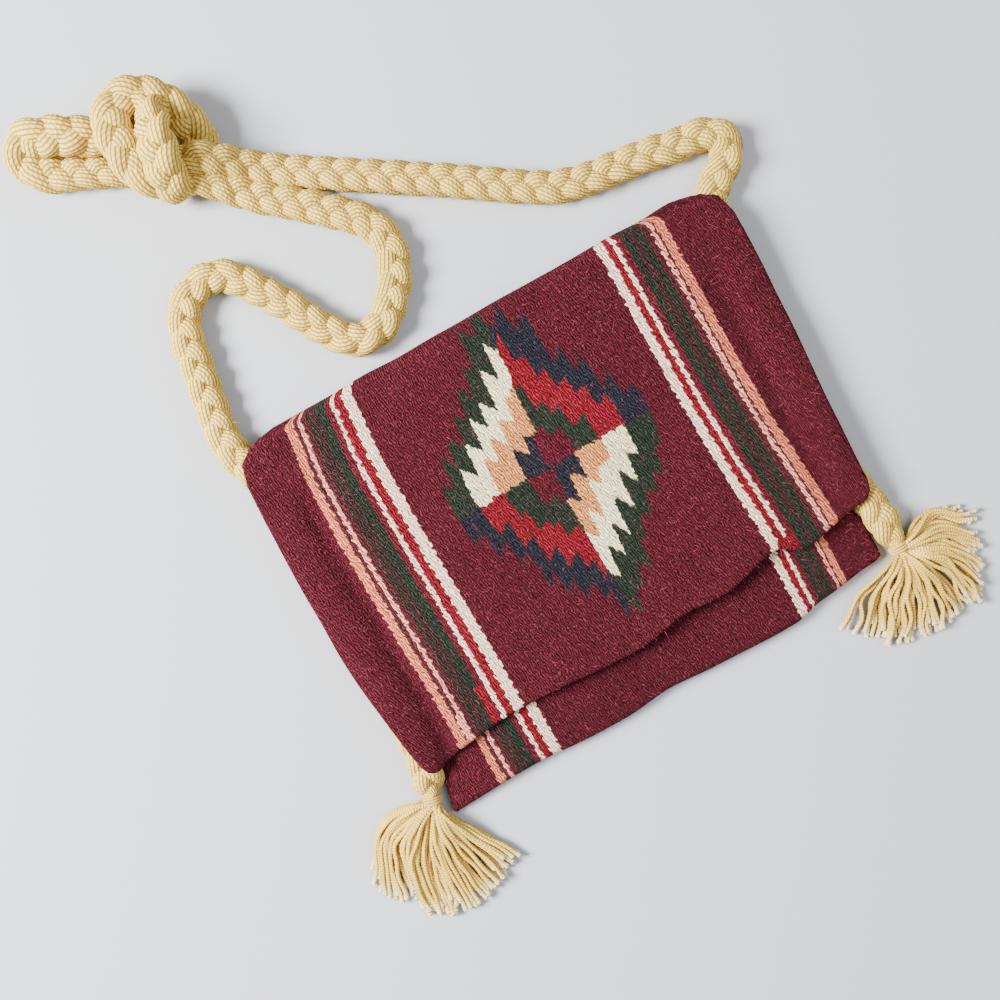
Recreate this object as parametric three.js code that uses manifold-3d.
// A tapestry shoulder bag, lying on its back with the flap closed. Millimetres.
// X runs across the bag, Y up to its top fold and Z up from the surface that it lies on.
// The origin is the middle of the face that the back panel rests on.
import * as THREE from "three";
import Module from "manifold-3d";
import { mergeVertices } from "three/addons/utils/BufferGeometryUtils.js";

// Driving sizes of the cloth
const BAG_WIDTH = 284; // across the flap where it is widest
const BAG_LENGTH = 218; // from the top fold to the bottom fold
const FLAP_LENGTH = 186; // from the top fold to the hem
const MOUTH_DROP = 27; // from the top fold down to the mouth of the pouch
const CLOTH_THICKNESS = 2.4;
const POUCH_THICKNESS = 13; // over both panels where the pouch is fullest
const SEAM_THICKNESS = 5.6; // over both panels along a side seam
const TOP_CORNER_RADIUS = 13;
const HEM_CORNER_RADIUS = 7;
const SEAM_WIDTH = 2; // of the stitched join between the panels
const LAYER_GAP = 0.5; // between the flap and the pouch under it

// Driving sizes of the braid and the tassels
const BRAID_WIDTH = 17;
const BRAID_THICKNESS = 11.5;
const TASSEL_REACH = 60; // from the neck to the longest yarn's end
const LOCK_WIDTH = 10;
const LOCK_THICKNESS = 5.6;
const NECK_RADIUS = 3.9;
const TIE_THICKNESS = 1.3;
const TIE_LENGTH = 3;
const BRAID_PARTING = 19; // from the top fold down to where the strap leaves the side braid
const PIECE_GAP = 0.3;
const SEAM_GAP = 0.9; // between a side braid and the seam that it is sewn along

// Fineness of the faceted surfaces
const CLOTH_COLUMNS = 22;
const BRAID_SIDES = 10;
const SIDE_BRAID_STEPS = 26;
const LOCK_SIDES = 6;
const LOCK_STEPS = 5;
const RING_SIDES = 16;
const SAMPLES_PER_POINT = 12; // of a braid's route

// Side edges of the flap, as shares of half the bag's width, down its length
const FLAP_EDGES = [
  { down: 0, left: 0.975, right: 0.995 },
  { down: 0.1, left: 0.985, right: 1 },
  { down: 0.3, left: 1, right: 0.996 },
  { down: 0.6, left: 0.996, right: 0.962 },
  { down: 0.72, left: 0.974, right: 0.951 },
  { down: 0.8, left: 0.957, right: 0.944 },
  { down: 0.9, left: 0.93, right: 0.938 },
  { down: 1, left: 0.92, right: 0.93 },
];

// Side seams of the pouch, as shares of half the bag's width, down its length
const POUCH_EDGES = [
  { down: 0, left: 0.884, right: 0.884 },
  { down: 0.12, left: 0.876, right: 0.876 },
  { down: 0.4, left: 0.871, right: 0.862 },
  { down: 0.75, left: 0.858, right: 0.842 },
  { down: 0.87, left: 0.872, right: 0.872 },
  { down: 0.94, left: 0.907, right: 0.876 },
  { down: 1, left: 0.924, right: 0.872 },
];

// The hem from left to right: how far it rises up the bag, as a share of the bag's length,
// and how far it stands off the pouch, as a share of the cloth's thickness
const HEM_WAVES = [
  { across: -1, rise: -0.042, lift: 0 },
  { across: -0.82, rise: -0.014, lift: 0.1 },
  { across: -0.58, rise: 0, lift: 0.2 },
  { across: -0.4, rise: -0.003, lift: 0.8 },
  { across: -0.06, rise: -0.014, lift: 1.2 },
  { across: 0.15, rise: 0.004, lift: 1.3 },
  { across: 0.34, rise: 0, lift: 1.4 },
  { across: 0.57, rise: 0.03, lift: 1.3 },
  { across: 0.67, rise: -0.001, lift: 0.3 },
  { across: 0.8, rise: 0.01, lift: 0.1 },
  { across: 1, rise: 0.03, lift: 0 },
];

// The bottom fold from left to right: how far it rises, as a share of the bag's length
const BOTTOM_WAVES = [
  { across: -1, rise: -0.006 },
  { across: -0.7, rise: 0.004 },
  { across: -0.3, rise: -0.008 },
  { across: 0, rise: 0.001 },
  { across: 0.57, rise: -0.012 },
  { across: 0.7, rise: 0.004 },
  { across: 1, rise: 0.026 },
];

// How high the flap lies, from the middle of the bag (0) out to the side braid (1): its share
// of the height that clears the pouch and its share of the height that clears the braid
const FLAP_SECTION = [
  { out: 0, overPouch: 1.02, overBraid: 0 },
  { out: 0.48, overPouch: 0.99, overBraid: 0 },
  { out: 0.74, overPouch: 0.94, overBraid: 0 },
  { out: 0.84, overPouch: 0.5, overBraid: 0.42 },
  { out: 0.9, overPouch: 0.14, overBraid: 0.78 },
  { out: 0.955, overPouch: 0, overBraid: 0.99 },
  { out: 1, overPouch: 0, overBraid: 1.02 },
  { out: 1.035, overPouch: 0, overBraid: 0.98 },
  { out: 1.065, overPouch: 0, overBraid: 0.88 },
  { out: 1.09, overPouch: 0, overBraid: 0.78 },
];

// How full the flap lies along its length, from the hem up to the top fold
const FLAP_FULLNESS = [
  { up: 0, fullness: 0.95 },
  { up: 0.12, fullness: 0.985 },
  { up: 0.3, fullness: 1 },
  { up: 0.8, fullness: 1 },
  { up: 1, fullness: 0.97 },
];

// How full the front panel lies, from the bottom fold up to the mouth
const FRONT_FULLNESS = [
  { up: 0, fullness: 0.6 },
  { up: 0.08, fullness: 0.78 },
  { up: 0.2, fullness: 0.92 },
  { up: 0.45, fullness: 1 },
  { up: 0.8, fullness: 1 },
  { up: 1, fullness: 0.92 },
];
const FRONT_FLATNESS = 6; // the power by which the front panel falls away to its seams
const EDGE_DROOP_START = 0.13; // down the bag's length, where the flap's edges begin to droop
const EDGE_DROOP_END = 0.25;

// Route of the strap's middle line, from the left corner round its knot to the right corner
const LEFT_LEG = [
  [-136.6, 97.5, 6.1], [-139.2, 106, 6.1], [-140, 117.3, 6.1],
  [-135.8, 146.8, 6.1], [-129.4, 176.9, 6.1], [-122.4, 187.1, 6.1], [-111.4, 192, 6.1],
  [-99.7, 189.6, 6.1], [-81.9, 165.9, 6.1], [-65, 136.3, 6.1], [-54.9, 126.6, 6.1],
  [-41.5, 127.2, 6.1], [-31.2, 135.4, 6.1], [-22, 147.4, 6.1], [-17.4, 161.9, 6.1],
  [-20.4, 175.4, 6.1], [-43.3, 198.5, 6.2], [-68.1, 220, 7.4],
];
const UNDER_KNOT = [
  [-78.6, 231, 11], [-86.1, 238.1, 12], [-94.9, 247, 8.4], [-105.8, 255.1, 6.6], [-119.3, 262.7, 6.3],
];
const END_LOOP = [
  [-135.4, 270.6, 6.3], [-149, 277.6, 6.4], [-156.6, 284.3, 7.8], [-157.4, 291.6, 10.5],
  [-151, 295, 14], [-140.9, 291, 16], [-128.1, 284.2, 16], [-117.9, 280.1, 12],
];
const KNOT_BACK = [
  [-106.6, 281, 8.5], [-95.2, 281.7, 11], [-90.3, 275.5, 19], [-91.4, 262.9, 27],
  [-94.4, 250.3, 27.5],
];
const KNOT_WRAP = [
  [-97.2, 240.6, 21], [-96.6, 237, 12.5], [-90.4, 240, 7.5], [-81.6, 247.8, 6.6],
  [-75.8, 256.8, 8], [-77.4, 266.9, 14], [-83, 278.6, 17], [-91.5, 286.4, 18],
];
const KNOT_BAND = [
  [-101.6, 287, 19], [-109.1, 278.3, 21], [-109.9, 262.7, 21], [-108.1, 250.8, 18],
  [-102.3, 245.5, 15.5], [-91.4, 246.3, 14],
];
const RIGHT_LEG = [
  [-80.5, 244.2, 17], [-71.6, 238.8, 14], [-61.2, 231.8, 8.4], [-49.5, 223.2, 6.4],
  [-16.5, 202.1, 6.1], [21.7, 177.6, 6.1], [56.6, 153.7, 6.1], [69.8, 145.7, 6.1],
  [85.4, 141, 6.1], [119, 136.7, 6.1],
];
const RIGHT_CORNER = [
  [135.4, 133.4, 6.1], [147.6, 132.2, 6.5], [156.4, 128.1, 7], [158.1, 119.6, 7],
  [150.7, 111.5, 6.5], [141.6, 105, 6.1], [136.6, 97.5, 6.1],
];
const STRAP_STRETCHES = [
  { points: LEFT_LEG, steps: 22 },
  { points: UNDER_KNOT, steps: 5 },
  { points: END_LOOP, steps: 10 },
  { points: KNOT_BACK, steps: 7 },
  { points: KNOT_WRAP, steps: 9 },
  { points: KNOT_BAND, steps: 7 },
  { points: RIGHT_LEG, steps: 11 },
  { points: RIGHT_CORNER, steps: 10 },
];
const CORNER_RUN = 30; // of the strap, over which it passes out under a top corner
const CORNER_STEPS = 6;
const FLATTENING_LENGTH = 14; // of braid, over which a turned section eases back flat

// The locks of each tassel: the way each leaves the neck and the way its end lies, in degrees
// from +X, and its reach as a share of the tassel's reach
const LEFT_LOCKS = [
  { leave: -188, end: -158, reach: 0.86 },
  { leave: -165, end: -147, reach: 0.92 },
  { leave: -145, end: -136, reach: 0.9 },
  { leave: -130, end: -125, reach: 0.93 },
  { leave: -117, end: -115, reach: 1 },
  { leave: -106, end: -104, reach: 0.97 },
  { leave: -98, end: -92, reach: 0.97 },
  { leave: -92, end: -81, reach: 0.92 },
  { leave: -88, end: -72, reach: 0.88 },
  { leave: -86, end: -63, reach: 0.88 },
];
const RIGHT_LOCKS = [
  { leave: 14, end: 5, reach: 0.66 },
  { leave: 5, end: -8, reach: 0.73 },
  { leave: -12, end: -24, reach: 0.74 },
  { leave: -28, end: -40, reach: 0.76 },
  { leave: -45, end: -55, reach: 0.84 },
  { leave: -65, end: -69, reach: 0.78 },
  { leave: -82, end: -84, reach: 0.79 },
  { leave: -96, end: -99, reach: 0.79 },
  { leave: -108, end: -114, reach: 0.81 },
  { leave: -114, end: -128, reach: 0.8 },
  { leave: -119, end: -141, reach: 0.8 },
  { leave: -123, end: -153, reach: 0.83 },
];
const SIDES = [
  { name: "left", sign: -1, neckAboveFold: 9.6, locks: LEFT_LOCKS },
  { name: "right", sign: 1, neckAboveFold: 4.4, locks: RIGHT_LOCKS },
];
const [LEFT, RIGHT] = SIDES;

const HALF_WIDTH = BAG_WIDTH / 2;
const TOP_Y = BAG_LENGTH / 2;
const BOTTOM_Y = -BAG_LENGTH / 2;
const HALF_CLOTH = CLOTH_THICKNESS / 2;
const BRAID_HEIGHT = BRAID_THICKNESS / 2 + PIECE_GAP;
const BRAID_TOP = BRAID_THICKNESS + PIECE_GAP;
const MOUTH_Y = TOP_Y - MOUTH_DROP;
const PARTING_Y = TOP_Y - BRAID_PARTING;
const TIE_RADIUS = NECK_RADIUS + PIECE_GAP + TIE_THICKNESS;
const NECK_HEIGHT = TIE_RADIUS + PIECE_GAP;
const NECK_CLEARANCE = TIE_LENGTH + 3 * PIECE_GAP; // from a side braid's end to its bound neck
const Z_AXIS = new THREE.Vector3(0, 0, 1);

const WOOL = new THREE.MeshStandardMaterial({ color: 0x6b2034, roughness: 0.95, metalness: 0 });
const CREAM = new THREE.MeshStandardMaterial({ color: 0xcdb482, roughness: 0.92, metalness: 0 });

const wasm = await Module();
wasm.setup();

// Read a column of a table at any place between its rows, on a smooth curve through them
function readTable(table, key, column, place) {
  const last = table.length - 1;
  const at = THREE.MathUtils.clamp(place, table[0][key], table[last][key]);
  let row = 0;
  while (row < last - 1 && at > table[row + 1][key]) {
    row += 1;
  }
  const slope = (i) => {
    const before = table[Math.max(i - 1, 0)];
    const after = table[Math.min(i + 1, last)];
    return (after[column] - before[column]) / (after[key] - before[key]);
  };
  const span = table[row + 1][key] - table[row][key];
  const t = (at - table[row][key]) / span;
  const blend = t * t * (3 - 2 * t);
  const leaving = t * (1 - t) * (1 - t) * span * slope(row);
  const arriving = t * t * (t - 1) * span * slope(row + 1);
  return THREE.MathUtils.lerp(table[row][column], table[row + 1][column], blend) + leaving + arriving;
}

// Turn a closed geometry into a solid that can be joined and cut
function toSolid(geometry) {
  const bare = geometry.clone();
  bare.deleteAttribute("normal");
  bare.deleteAttribute("uv");
  const merged = mergeVertices(bare, 1e-4);
  return new wasm.Manifold(new wasm.Mesh({
    numProp: 3,
    vertProperties: new Float32Array(merged.attributes.position.array),
    triVerts: new Uint32Array(merged.index.array),
  }));
}

// Turn a solid back into a geometry
function toGeometry(solid) {
  const mesh = solid.getMesh();
  const geometry = new THREE.BufferGeometry();
  geometry.setAttribute("position", new THREE.BufferAttribute(new Float32Array(mesh.vertProperties), 3));
  geometry.setIndex(new THREE.BufferAttribute(new Uint32Array(mesh.triVerts), 1));
  return geometry;
}

// Join closed geometries into one body, with any sealed hollow left between them filled
function joinAll(geometries) {
  const joined = geometries.map(toSolid).reduce((whole, piece) => whole.add(piece));
  const bodies = joined.decompose().sort((a, b) => b.volume() - a.volume());
  return toGeometry(bodies[0]);
}

// Close a stack of rings, each with as many points, into one body
function closeRings(rings) {
  const sides = rings[0].length;
  const points = rings.flat();
  const faces = [];
  for (let r = 0; r < rings.length - 1; r += 1) {
    for (let s = 0; s < sides; s += 1) {
      const a = r * sides + s;
      const b = r * sides + ((s + 1) % sides);
      faces.push(a, b, a + sides, b, b + sides, a + sides);
    }
  }
  const lastRing = (rings.length - 1) * sides;
  for (let s = 1; s < sides - 1; s += 1) {
    faces.push(0, s + 1, s);
    faces.push(lastRing, lastRing + s, lastRing + s + 1);
  }
  const geometry = new THREE.BufferGeometry().setFromPoints(points);
  geometry.setIndex(faces);
  return geometry;
}

// How far a rounded corner draws an edge back, at a distance in from the corner
function cornerDraw(distance, radius) {
  if (distance >= radius) {
    return 0;
  }
  return radius - Math.sqrt(radius * radius - (radius - distance) ** 2);
}

function edgeX(table, side, y) {
  return side.sign * HALF_WIDTH * readTable(table, "down", side.name, (TOP_Y - y) / BAG_LENGTH);
}

function betweenEdges(table, across, y) {
  return THREE.MathUtils.lerp(edgeX(table, LEFT, y), edgeX(table, RIGHT, y), (across + 1) / 2);
}

// The middle line of a side braid, along the outside of its seam
function sideBraidX(side, y) {
  return edgeX(POUCH_EDGES, side, y) + side.sign * (BRAID_WIDTH / 2 + SEAM_GAP);
}

function topLine(across) {
  return TOP_Y - cornerDraw((1 - Math.abs(across)) * HALF_WIDTH, TOP_CORNER_RADIUS);
}

function hemLine(across) {
  const rise = BAG_LENGTH * readTable(HEM_WAVES, "across", "rise", across);
  return TOP_Y - FLAP_LENGTH + rise + cornerDraw((1 - Math.abs(across)) * HALF_WIDTH, HEM_CORNER_RADIUS);
}

function bottomLine(across) {
  return BOTTOM_Y + BAG_LENGTH * readTable(BOTTOM_WAVES, "across", "rise", across);
}

// Height of the front panel's middle surface
function frontHeight(across, up) {
  const full = POUCH_THICKNESS * readTable(FRONT_FULLNESS, "up", "fullness", up);
  const spread = 1 - Math.abs(across) ** FRONT_FLATNESS;
  return SEAM_THICKNESS + (full - SEAM_THICKNESS) * spread - HALF_CLOTH;
}

// Height of the flap's middle surface
function flapHeight(across, y) {
  const side = across < 0 ? LEFT : RIGHT;
  const out = betweenEdges(FLAP_EDGES, across, y) / sideBraidX(side, y);
  const up = THREE.MathUtils.clamp((y - hemLine(across)) / (topLine(across) - hemLine(across)), 0, 1);
  const clearPouch = POUCH_THICKNESS + LAYER_GAP + HALF_CLOTH;
  const clearBraid = BRAID_TOP + PIECE_GAP + HALF_CLOTH;
  const full = readTable(FLAP_FULLNESS, "up", "fullness", up);
  const overPouch = clearPouch * full * readTable(FLAP_SECTION, "out", "overPouch", out);
  const lying = overPouch + clearBraid * readTable(FLAP_SECTION, "out", "overBraid", out);
  const droop = THREE.MathUtils.smoothstep((TOP_Y - y) / BAG_LENGTH, EDGE_DROOP_START, EDGE_DROOP_END);
  const lift = CLOTH_THICKNESS * readTable(HEM_WAVES, "across", "lift", across) * (1 - up) ** 6;
  return THREE.MathUtils.lerp(Math.max(lying, clearBraid), lying, droop) + lift;
}

// The middle surface of the woven strip at one column, from the hem over the top fold,
// down the back, round the bottom fold and up to the mouth
function stripColumn(across) {
  const column = [];
  const put = (table, y, z) => column.push(new THREE.Vector3(betweenEdges(table, across, y), y, z));
  const foldTop = flapHeight(across, topLine(across) - POUCH_THICKNESS / 2);
  const topRadius = (foldTop - HALF_CLOTH) / 2;
  const foldY = topLine(across) - HALF_CLOTH - topRadius;
  const flapSteps = 14;
  for (let i = 0; i < flapSteps; i += 1) {
    const y = THREE.MathUtils.lerp(hemLine(across), foldY, (i / flapSteps) ** 1.15);
    put(FLAP_EDGES, y, flapHeight(across, y));
  }
  const foldSteps = 8;
  for (let i = 0; i <= foldSteps; i += 1) {
    const turn = (Math.PI * i) / foldSteps;
    const y = foldY + topRadius * Math.sin(turn);
    const wide = betweenEdges(FLAP_EDGES, across, foldY);
    const narrow = betweenEdges(POUCH_EDGES, across, foldY);
    const x = THREE.MathUtils.lerp(wide, narrow, THREE.MathUtils.smoothstep(i / foldSteps, 0.4, 1));
    column.push(new THREE.Vector3(x, y, HALF_CLOTH + topRadius * (1 + Math.cos(turn))));
  }
  const bottomRadius = (frontHeight(across, 0) - HALF_CLOTH) / 2;
  const bottomY = bottomLine(across) + HALF_CLOTH + bottomRadius;
  const backSteps = 9;
  for (let i = 1; i < backSteps; i += 1) {
    put(POUCH_EDGES, THREE.MathUtils.lerp(foldY, bottomY, i / backSteps), HALF_CLOTH);
  }
  const bottomSteps = 4;
  for (let i = 0; i <= bottomSteps; i += 1) {
    const turn = (Math.PI * i) / bottomSteps;
    const y = bottomY - bottomRadius * Math.sin(turn);
    put(POUCH_EDGES, y, HALF_CLOTH + bottomRadius * (1 - Math.cos(turn)));
  }
  const frontSteps = 10;
  for (let i = 1; i <= frontSteps; i += 1) {
    const up = (i / frontSteps) ** 1.3;
    put(POUCH_EDGES, THREE.MathUtils.lerp(bottomY, MOUTH_Y, up), frontHeight(across, up));
  }
  return column;
}

// Give a middle surface its thickness, and close its four rims
function thickenGrid(columns) {
  const rows = columns[0].length;
  const last = columns.length - 1;
  const shift = (i, j, by) => {
    const aside = columns[Math.min(i + 1, last)][j].clone().sub(columns[Math.max(i - 1, 0)][j]);
    const onward = columns[i][Math.min(j + 1, rows - 1)].clone().sub(columns[i][Math.max(j - 1, 0)]);
    const normal = aside.cross(onward).normalize();
    return columns[i][j].clone().addScaledVector(normal, by);
  };
  const outer = columns.map((column, i) => column.map((_, j) => shift(i, j, HALF_CLOTH)));
  const inner = columns.map((column, i) => column.map((_, j) => shift(i, j, -HALF_CLOTH)));
  const points = [...outer.flat(), ...inner.flat()];
  const half = columns.length * rows;
  const faces = [];
  const quad = (a, b, c, d) => faces.push(a, b, c, a, c, d);
  for (let i = 0; i < last; i += 1) {
    for (let j = 0; j < rows - 1; j += 1) {
      const a = i * rows + j;
      quad(a, a + rows, a + rows + 1, a + 1);
      quad(half + a, half + a + 1, half + a + rows + 1, half + a + rows);
    }
    const end = i * rows + rows - 1;
    quad(i * rows, half + i * rows, half + (i + 1) * rows, (i + 1) * rows);
    quad(end, end + rows, half + end + rows, half + end);
  }
  for (let j = 0; j < rows - 1; j += 1) {
    const far = last * rows + j;
    quad(j, j + 1, half + j + 1, half + j);
    quad(far, half + far, half + far + 1, far + 1);
  }
  const geometry = new THREE.BufferGeometry().setFromPoints(points);
  geometry.setIndex(faces);
  return geometry;
}

// The stitched join between the front and back panels at one side
function seamStrip(side) {
  const rings = [];
  const steps = 10;
  const lowY = bottomLine(side.sign) + HALF_CLOTH;
  for (let i = 0; i <= steps; i += 1) {
    const y = THREE.MathUtils.lerp(lowY, MOUTH_Y, i / steps);
    const outside = edgeX(POUCH_EDGES, side, y) - side.sign * PIECE_GAP;
    const inside = outside - side.sign * SEAM_WIDTH;
    const low = Math.min(outside, inside);
    const high = Math.max(outside, inside);
    const top = SEAM_THICKNESS - HALF_CLOTH;
    rings.push([
      new THREE.Vector3(low, y, HALF_CLOTH),
      new THREE.Vector3(low, y, top),
      new THREE.Vector3(high, y, top),
      new THREE.Vector3(high, y, HALF_CLOTH),
    ]);
  }
  return closeRings(rings);
}

// A route with the braid's flat section carried along it without twist, and eased back flat
class BraidRoute {
  constructor(points) {
    this.curve = new THREE.CatmullRomCurve3(points.map((p) => new THREE.Vector3(...p)), false, "centripetal");
    this.samples = (points.length - 1) * SAMPLES_PER_POINT;
    this.lengths = this.curve.getLengths(this.samples);
    this.curve.arcLengthDivisions = this.samples * 2;
    this.curve.updateArcLengths();
    this.length = this.curve.getLength();
    this.ups = this.carryUp();
  }

  carryUp() {
    const ups = [];
    let up = Z_AXIS.clone();
    const step = this.length / this.samples;
    for (let i = 0; i <= this.samples; i += 1) {
      const tangent = this.curve.getTangentAt(i / this.samples);
      up.addScaledVector(tangent, -up.dot(tangent)).normalize();
      const level = Z_AXIS.clone().addScaledVector(tangent, -tangent.z);
      const facing = Math.sign(up.dot(level)) || 1;
      up.addScaledVector(level, (facing * step) / FLATTENING_LENGTH).normalize();
      ups.push(up.clone());
      up = up.clone();
    }
    return ups;
  }

  shareAtPoint(index) {
    return this.lengths[index * SAMPLES_PER_POINT] / this.lengths[this.samples];
  }
}

// The part of a route between two shares of its length, for an extrusion
class BraidStretch extends THREE.Curve {
  constructor(route, from, to) {
    super();
    this.route = route;
    this.from = from;
    this.to = to;
  }

  share(t) {
    return THREE.MathUtils.lerp(this.from, this.to, t);
  }

  getPoint(t) {
    return this.route.curve.getPointAt(this.share(t));
  }

  computeFrenetFrames(steps) {
    const frames = { tangents: [], normals: [], binormals: [] };
    for (let i = 0; i <= steps; i += 1) {
      const share = this.share(i / steps);
      const tangent = this.route.curve.getTangentAt(share);
      const up = this.route.ups[Math.round(share * this.route.samples)].clone();
      up.addScaledVector(tangent, -up.dot(tangent)).normalize();
      frames.tangents.push(tangent);
      frames.normals.push(up);
      frames.binormals.push(tangent.clone().cross(up));
    }
    return frames;
  }
}

function braidSection() {
  const section = new THREE.Shape();
  const outline = [];
  for (let i = 0; i < BRAID_SIDES; i += 1) {
    const turn = (2 * Math.PI * (i + 0.5)) / BRAID_SIDES;
    const x = (BRAID_THICKNESS / 2) * Math.cos(turn);
    outline.push(new THREE.Vector2(x, (BRAID_WIDTH / 2) * Math.sin(turn)));
  }
  return section.setFromPoints(outline);
}

function braidTube(stretch, steps) {
  return new THREE.ExtrudeGeometry(braidSection(), { steps, extrudePath: stretch, bevelEnabled: false });
}

// Points down a side braid, from where the strap leaves it to its neck
function sideBraidPoints(side) {
  const points = [];
  const rows = 9;
  for (let i = 0; i <= rows; i += 1) {
    const y = THREE.MathUtils.lerp(PARTING_Y, BOTTOM_Y + side.neckAboveFold + NECK_CLEARANCE, i / rows);
    points.push([sideBraidX(side, y), y, BRAID_HEIGHT]);
  }
  return points;
}

// The whole braid as one run: up the left side, round the strap and down the right side
const LEFT_POINTS = sideBraidPoints(LEFT).reverse();
const STRAP_POINTS = STRAP_STRETCHES.flatMap((stretch) => stretch.points);
const RIGHT_POINTS = sideBraidPoints(RIGHT);
const BRAID_RUN = new BraidRoute([...LEFT_POINTS, ...STRAP_POINTS, ...RIGHT_POINTS]);
const STRAP_FROM = LEFT_POINTS.length - 1;
const STRAP_TO = LEFT_POINTS.length + STRAP_POINTS.length;
const GAP_SHARE = PIECE_GAP / BRAID_RUN.length;

// The strap in stretches that each pass clear of themselves, joined where they meet in the knot
function shoulderStrap() {
  const tubes = [];
  let first = STRAP_FROM;
  let from = BRAID_RUN.shareAtPoint(first) + GAP_SHARE;
  for (const stretch of STRAP_STRETCHES) {
    const last = stretch === STRAP_STRETCHES.at(-1) ? STRAP_TO : first + stretch.points.length;
    const to = BRAID_RUN.shareAtPoint(last) - (last === STRAP_TO ? GAP_SHARE : 0);
    tubes.push(braidTube(new BraidStretch(BRAID_RUN, from, to), stretch.steps));
    first = last;
    from = to;
  }
  return joinAll(tubes);
}

function sideBraid(side) {
  const stretch = side === LEFT
    ? new BraidStretch(BRAID_RUN, 0, BRAID_RUN.shareAtPoint(STRAP_FROM) - GAP_SHARE)
    : new BraidStretch(BRAID_RUN, BRAID_RUN.shareAtPoint(STRAP_TO) + GAP_SHARE, 1);
  return braidTube(stretch, SIDE_BRAID_STEPS);
}

// Where a side braid's end is bound, and the way that it heads there
function neckOf(side) {
  const end = side === LEFT ? 0 : 1;
  const heading = BRAID_RUN.curve.getTangentAt(end).multiplyScalar(side.sign).setZ(0).normalize();
  const place = BRAID_RUN.curve.getPointAt(end).addScaledVector(heading, NECK_CLEARANCE).setZ(NECK_HEIGHT);
  return { heading, place };
}

// What the strap passes through at a top corner: all that lies outside its inner edge,
// from under the back panel up to the flap
function cornerCut(side) {
  const half = BRAID_WIDTH / 2 + 2 * PIECE_GAP;
  const outside = side.sign * BAG_WIDTH;
  const outline = [new THREE.Vector2(outside, MOUTH_Y)];
  outline.push(new THREE.Vector2(sideBraidX(side, MOUTH_Y) - side.sign * half, MOUTH_Y));
  const junction = BRAID_RUN.shareAtPoint(side === LEFT ? STRAP_FROM : STRAP_TO);
  for (let i = 0; i <= CORNER_STEPS; i += 1) {
    const share = junction - (side.sign * CORNER_RUN * i) / CORNER_STEPS / BRAID_RUN.length;
    const point = BRAID_RUN.curve.getPointAt(share);
    const tangent = BRAID_RUN.curve.getTangentAt(share);
    outline.push(new THREE.Vector2(point.x + tangent.y * half, point.y - tangent.x * half));
  }
  outline.push(new THREE.Vector2(outside, outline[outline.length - 1].y));
  const depth = BRAID_TOP + PIECE_GAP + BRAID_HEIGHT;
  const cut = new THREE.ExtrudeGeometry(new THREE.Shape(outline), { depth, bevelEnabled: false });
  return cut.translate(0, 0, -BRAID_HEIGHT);
}

function wovenCloth() {
  const columns = [];
  for (let i = 0; i <= CLOTH_COLUMNS; i += 1) {
    columns.push(stripColumn(Math.sin(Math.PI * (i / CLOTH_COLUMNS - 0.5))));
  }
  let cloth = toSolid(thickenGrid(columns));
  for (const side of SIDES) {
    cloth = cloth.add(toSolid(seamStrip(side))).subtract(toSolid(cornerCut(side)));
  }
  return toGeometry(cloth);
}

function turnAlong(geometry, heading, centre) {
  const turn = new THREE.Quaternion().setFromUnitVectors(new THREE.Vector3(0, 1, 0), heading);
  return geometry.applyQuaternion(turn).translate(centre.x, centre.y, centre.z);
}

function tasselTie(side) {
  const inside = NECK_RADIUS + PIECE_GAP;
  const half = TIE_LENGTH / 2;
  const profile = [
    new THREE.Vector2(inside, -half),
    new THREE.Vector2(TIE_RADIUS - TIE_THICKNESS / 3, -half),
    new THREE.Vector2(TIE_RADIUS, 0),
    new THREE.Vector2(TIE_RADIUS - TIE_THICKNESS / 3, half),
    new THREE.Vector2(inside, half),
    new THREE.Vector2(inside, -half),
  ];
  const { heading, place } = neckOf(side);
  const centre = place.addScaledVector(heading, -half - PIECE_GAP);
  return turnAlong(new THREE.LatheGeometry(profile, RING_SIDES), heading, centre);
}

function degrees(angle, length, height) {
  const turn = THREE.MathUtils.degToRad(angle);
  return new THREE.Vector3(length * Math.cos(turn), length * Math.sin(turn), height);
}

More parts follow.
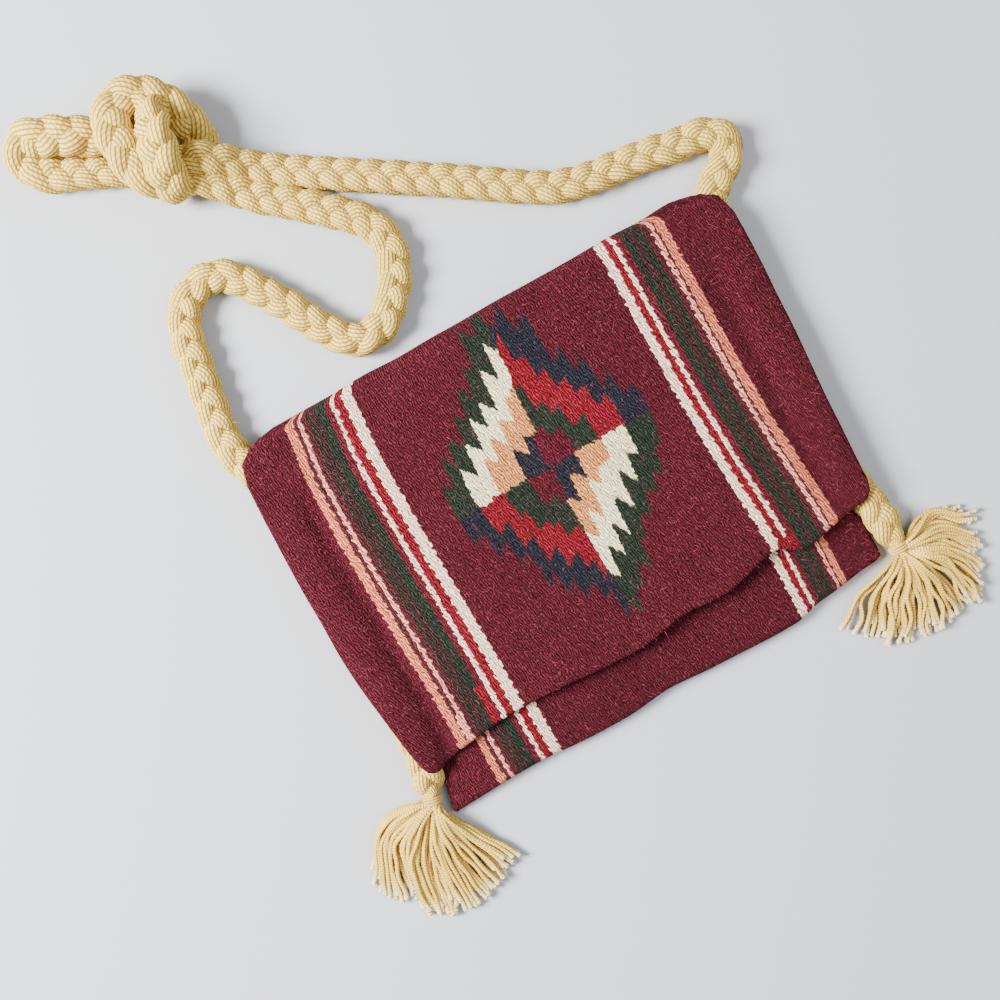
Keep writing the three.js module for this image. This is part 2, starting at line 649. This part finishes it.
// One flat lock of yarns, from the neck out to its end on the surface
function tasselLock(root, lock) {
  const reach = TASSEL_REACH * lock.reach;
  const lowest = LOCK_THICKNESS / 2 + PIECE_GAP;
  const base = new THREE.Vector3(root.x, root.y, 0);
  const route = new THREE.CatmullRomCurve3([
    base.clone().setZ(root.z),
    base.clone().add(degrees(lock.leave, reach * 0.22, NECK_HEIGHT + 1.2)),
    base.clone().add(degrees((lock.leave + lock.end) / 2, reach * 0.6, lowest + 1.5)),
    base.clone().add(degrees(lock.end, reach, lowest)),
  ]);
  const rings = [];
  for (let i = 0; i <= LOCK_STEPS; i += 1) {
    const t = i / LOCK_STEPS;
    const tangent = route.getTangentAt(t);
    const side = Z_AXIS.clone().cross(tangent).normalize();
    const up = tangent.clone().cross(side);
    const wide = (LOCK_WIDTH / 2) * (0.42 + 0.75 * Math.sin(Math.min(t * 1.25, 1) * Math.PI * 0.5) - 0.2 * t);
    const ring = [];
    for (let s = 0; s < LOCK_SIDES; s += 1) {
      const turn = (2 * Math.PI * s) / LOCK_SIDES;
      const point = route.getPointAt(t).addScaledVector(side, wide * Math.cos(turn));
      ring.push(point.addScaledVector(up, (LOCK_THICKNESS / 2) * Math.sin(turn)));
    }
    rings.push(ring);
  }
  return closeRings(rings);
}

// A tassel: the core that passes through its tie, a rounded head and the locks
function tassel(side) {
  const { heading, place } = neckOf(side);
  const root = place.clone().addScaledVector(heading, NECK_RADIUS + PIECE_GAP);
  const coreLength = TIE_LENGTH + NECK_RADIUS + 3 * PIECE_GAP;
  const core = new THREE.CylinderGeometry(NECK_RADIUS, NECK_RADIUS, coreLength, RING_SIDES);
  const head = new THREE.SphereGeometry(NECK_RADIUS * 1.15, 12, 8);
  head.rotateX(Math.PI / 2).translate(root.x, root.y, NECK_HEIGHT);
  const coreCentre = root.clone().addScaledVector(heading, -coreLength / 2);
  const pieces = [turnAlong(core, heading, coreCentre), head];
  for (const lock of side.locks) {
    pieces.push(tasselLock(root, lock));
  }
  return joinAll(pieces);
}

function addPiece(group, name, geometry, material) {
  const mesh = new THREE.Mesh(geometry, material);
  mesh.name = name;
  group.add(mesh);
}

const bag = new THREE.Group();
addPiece(bag, "woven_cloth", wovenCloth(), WOOL);
addPiece(bag, "shoulder_strap", shoulderStrap(), CREAM);
for (const side of SIDES) {
  addPiece(bag, `side_braid_${side.name}`, sideBraid(side), CREAM);
  addPiece(bag, `tassel_tie_${side.name}`, tasselTie(side), CREAM);
  addPiece(bag, `tassel_${side.name}`, tassel(side), CREAM);
}

export default bag;
